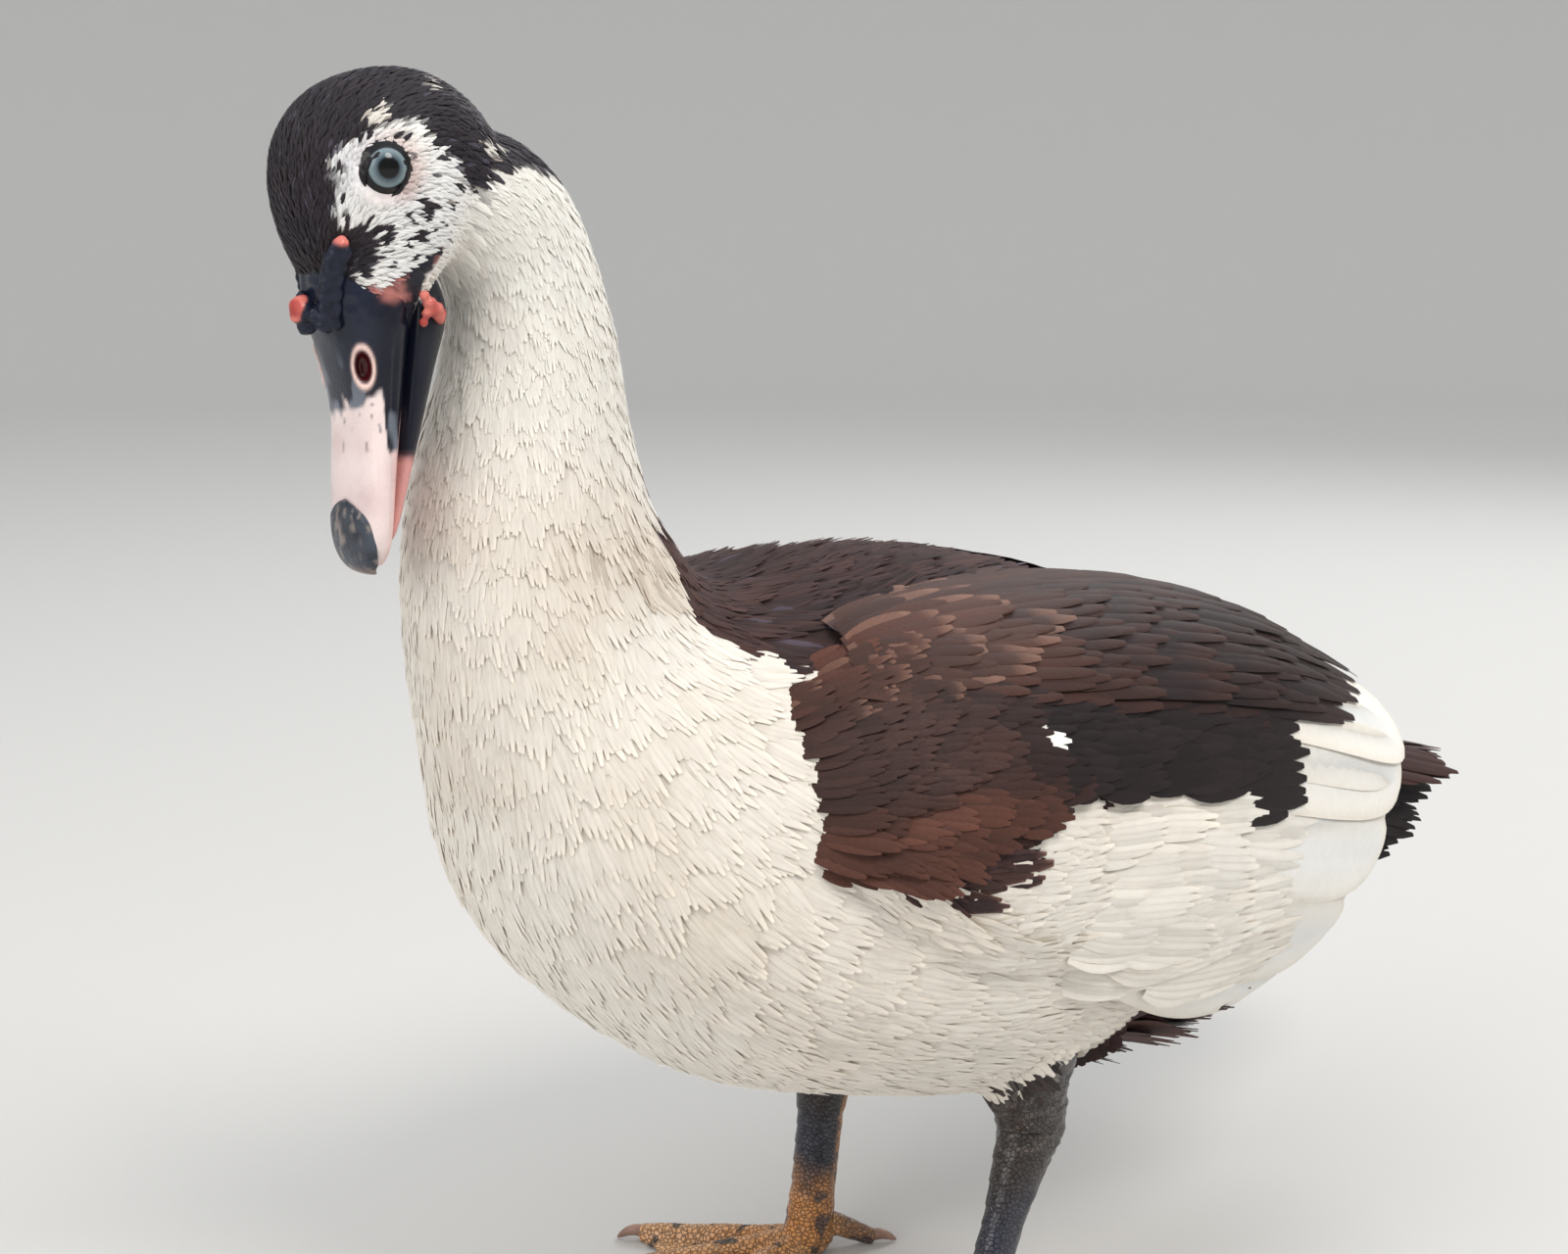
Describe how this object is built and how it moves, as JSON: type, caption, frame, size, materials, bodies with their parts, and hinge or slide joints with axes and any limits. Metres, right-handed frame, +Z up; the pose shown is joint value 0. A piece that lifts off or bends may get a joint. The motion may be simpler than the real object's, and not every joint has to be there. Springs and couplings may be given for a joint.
{
  "type": "muscovy duck",
  "caption": "Still, life-size muscovy duck, pied brown and white, standing with its bill held straight down and its wings folded.",
  "frame": {"origin": "on the floor, under the middle of the whole bird", "axes": "+Z up, the bird faces -Y, and its left side is +X"},
  "size_m": [0.1776, 0.4514, 0.3481],
  "materials": {
    "feathers": "matt white body and flight feathers, soft and a little stained",
    "dark_feathers": "satin black-brown feathers with a faint sheen",
    "head": "short feathers speckled black on white, and bare red skin at the bill",
    "eye": "wet, glossy, pale blue-grey iris",
    "bill": "satin horn, slate with a pale pink band near the tip",
    "nail": "satin dark horn",
    "leg": "satin scaly skin",
    "foot": "satin webbed skin, dull orange with dark spots",
    "claw": "satin horn"
  },
  "bodies": {
    "root": {"torso": "feathers", "neck_lower": "feathers", "neck_upper": "feathers", "head": "head", "eye_left": "eye", "eye_right": "eye", "bill_upper": "bill", "bill_lower": "bill", "bill_nail": "nail", "wing_left": "dark_feathers", "wing_right": "dark_feathers", "flight_left": "feathers", "flight_right": "feathers", "tail": "dark_feathers", "thigh_left": "feathers", "thigh_right": "feathers", "shank_left": "leg", "shank_right": "leg", "foot_left": "foot", "foot_right": "foot", "claw_inner_left": "claw", "claw_inner_right": "claw", "claw_middle_left": "claw", "claw_middle_right": "claw", "claw_outer_left": "claw", "claw_outer_right": "claw", "claw_hind_left": "claw", "claw_hind_right": "claw"}
  },
  "joints": []
}
